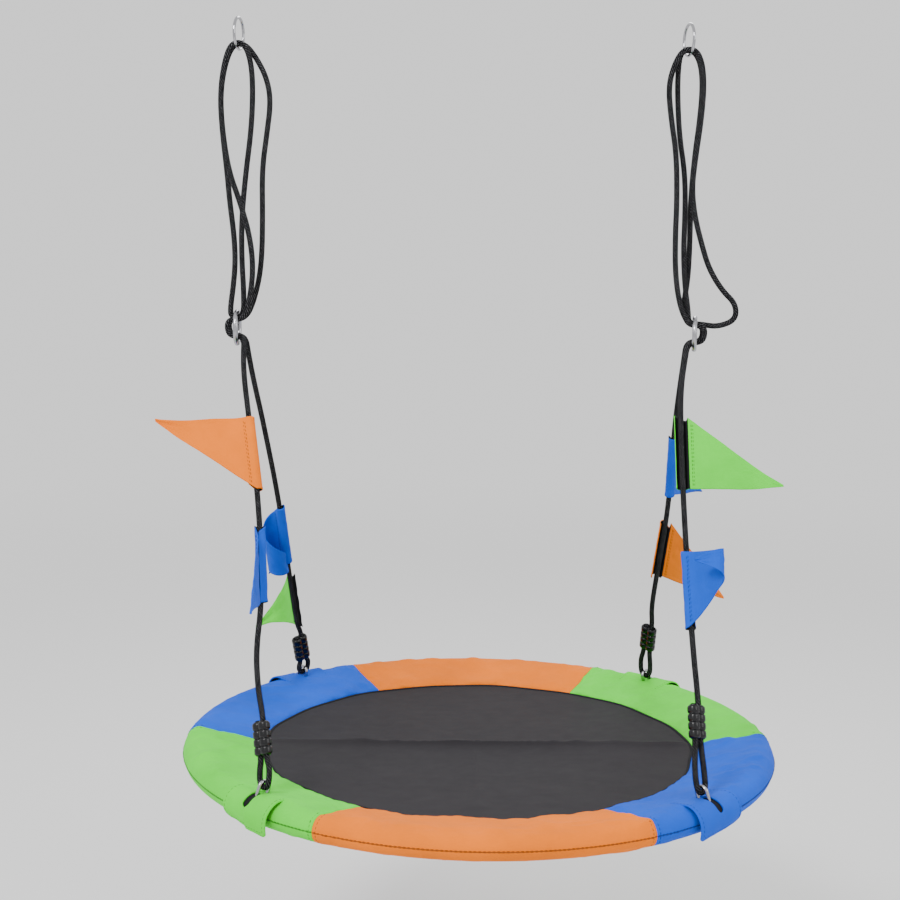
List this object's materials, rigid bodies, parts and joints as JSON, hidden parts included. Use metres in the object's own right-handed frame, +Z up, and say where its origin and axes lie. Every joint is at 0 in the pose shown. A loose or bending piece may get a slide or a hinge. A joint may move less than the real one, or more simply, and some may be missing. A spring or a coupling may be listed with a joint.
{
  "type": "saucer nest swing",
  "caption": "Round padded nest swing seat on a hidden steel hoop, hung by knotless rope legs, adjuster rings and hang rings, with small pennants on the legs.",
  "frame": {"origin": "midpoint between the centres of the two hang rings, on the axis the swing turns about", "axes": "+X along the line between the hang rings to the front view's right, -Y the front, +Z up"},
  "size_m": [1.057, 1.0158, 1.2485],
  "materials": {
    "ring_chrome": "polished",
    "ring_zinc": "zinc plated",
    "rope": "braided",
    "staple_zinc": "zinc plated",
    "frame_steel": "powder coated",
    "foam": "closed cell foam",
    "screw_steel": "zinc plated",
    "cloth_orange": "woven",
    "cloth_blue": "woven",
    "cloth_green": "woven",
    "bead_black": "woven binding",
    "mat_charcoal": "coated weave",
    "ferrule_black": "gloss"
  },
  "bodies": {
    "hangers": {"hang_ring_left": "ring_chrome", "hang_ring_right": "ring_chrome"},
    "upper_ropes": {"upper_rope_left": "rope", "upper_rope_right": "rope", "adjuster_ring_left": "ring_zinc", "adjuster_ring_right": "ring_zinc"},
    "seat": {"frame_tube_1": "frame_steel", "frame_tube_2": "frame_steel", "frame_tube_3": "frame_steel", "frame_tube_4": "frame_steel", "foam_sleeve_1": "foam", "foam_sleeve_2": "foam", "foam_sleeve_3": "foam", "foam_sleeve_4": "foam", "joint_screws": "screw_steel", "cover_front": "cloth_orange", "cover_front_right": "cloth_blue", "cover_back_right": "cloth_green", "cover_back": "cloth_orange", "cover_back_left": "cloth_blue", "cover_front_left": "cloth_green", "edge_bead": "bead_black", "seat_mat": "mat_charcoal", "slot_flap_front_left": "cloth_green", "slot_flap_front_right": "cloth_blue", "slot_flap_back_left": "cloth_blue", "slot_flap_back_right": "cloth_green", "rope_staple_front_left": "staple_zinc", "rope_staple_front_right": "staple_zinc", "rope_staple_back_left": "staple_zinc", "rope_staple_back_right": "staple_zinc", "ferrule_front_left": "ferrule_black", "ferrule_front_right": "ferrule_black", "ferrule_back_left": "ferrule_black", "ferrule_back_right": "ferrule_black", "leg_rope_front_left": "rope", "leg_rope_front_right": "rope", "leg_rope_back_left": "rope", "leg_rope_back_right": "rope"},
    "flag_front_left_orange": {"flag_front_left_orange": "cloth_orange"},
    "flag_front_left_blue": {"flag_front_left_blue": "cloth_blue"},
    "flag_back_left_blue": {"flag_back_left_blue": "cloth_blue"},
    "flag_back_left_green": {"flag_back_left_green": "cloth_green"},
    "flag_front_right_green": {"flag_front_right_green": "cloth_green"},
    "flag_front_right_blue": {"flag_front_right_blue": "cloth_blue"},
    "flag_back_right_blue": {"flag_back_right_blue": "cloth_blue"},
    "flag_back_right_orange": {"flag_back_right_orange": "cloth_orange"}
  },
  "joints": [
    {"name": "swing_hinge", "type": "hinge", "parent": "hangers", "child": "upper_ropes", "pos_m": [0, 0, 0], "axis": [1, 0, 0], "range_deg": [-35, 35]},
    {"name": "seat_pitch", "type": "hinge", "parent": "upper_ropes", "child": "seat", "pos_m": [0, 0, -0.483], "axis": [1, 0, 0], "range_deg": [-12, 12]},
    {"name": "front_left_orange_turn", "type": "hinge", "parent": "seat", "child": "flag_front_left_orange", "pos_m": [-0.33631, -0.10178, -0.68409], "axis": [-0.1619, 0.4437, 0.8814], "range_deg": [-40, 40]},
    {"name": "front_left_blue_turn", "type": "hinge", "parent": "seat", "child": "flag_front_left_blue", "pos_m": [-0.31394, -0.18502, -0.84942], "axis": [-0.0821, 0.4482, 0.8901], "range_deg": [-40, 40]},
    {"name": "back_left_blue_turn", "type": "hinge", "parent": "seat", "child": "flag_back_left_blue", "pos_m": [-0.31672, 0.19648, -0.87152], "axis": [-0.0656, -0.4534, 0.8889], "range_deg": [-40, 40]},
    {"name": "back_left_green_turn", "type": "hinge", "parent": "seat", "child": "flag_back_left_green", "pos_m": [-0.3053, 0.26735, -1.01455], "axis": [-0.0782, -0.4301, 0.8994], "range_deg": [-40, 40]},
    {"name": "front_right_green_turn", "type": "hinge", "parent": "seat", "child": "flag_front_right_green", "pos_m": [0.36555, -0.09615, -0.6723], "axis": [0.0067, 0.4472, 0.8944], "range_deg": [-40, 40]},
    {"name": "front_right_blue_turn", "type": "hinge", "parent": "seat", "child": "flag_front_right_blue", "pos_m": [0.36779, -0.20089, -0.88085], "axis": [-0.0185, 0.4496, 0.893], "range_deg": [-40, 40]},
    {"name": "back_right_blue_turn", "type": "hinge", "parent": "seat", "child": "flag_back_right_blue", "pos_m": [0.38288, 0.12256, -0.72564], "axis": [-0.0375, -0.4494, 0.8926], "range_deg": [-40, 40]},
    {"name": "back_right_orange_turn", "type": "hinge", "parent": "seat", "child": "flag_back_right_orange", "pos_m": [0.38096, 0.20788, -0.8945], "axis": [0.0475, -0.4515, 0.891], "range_deg": [-40, 40]}
  ]
}
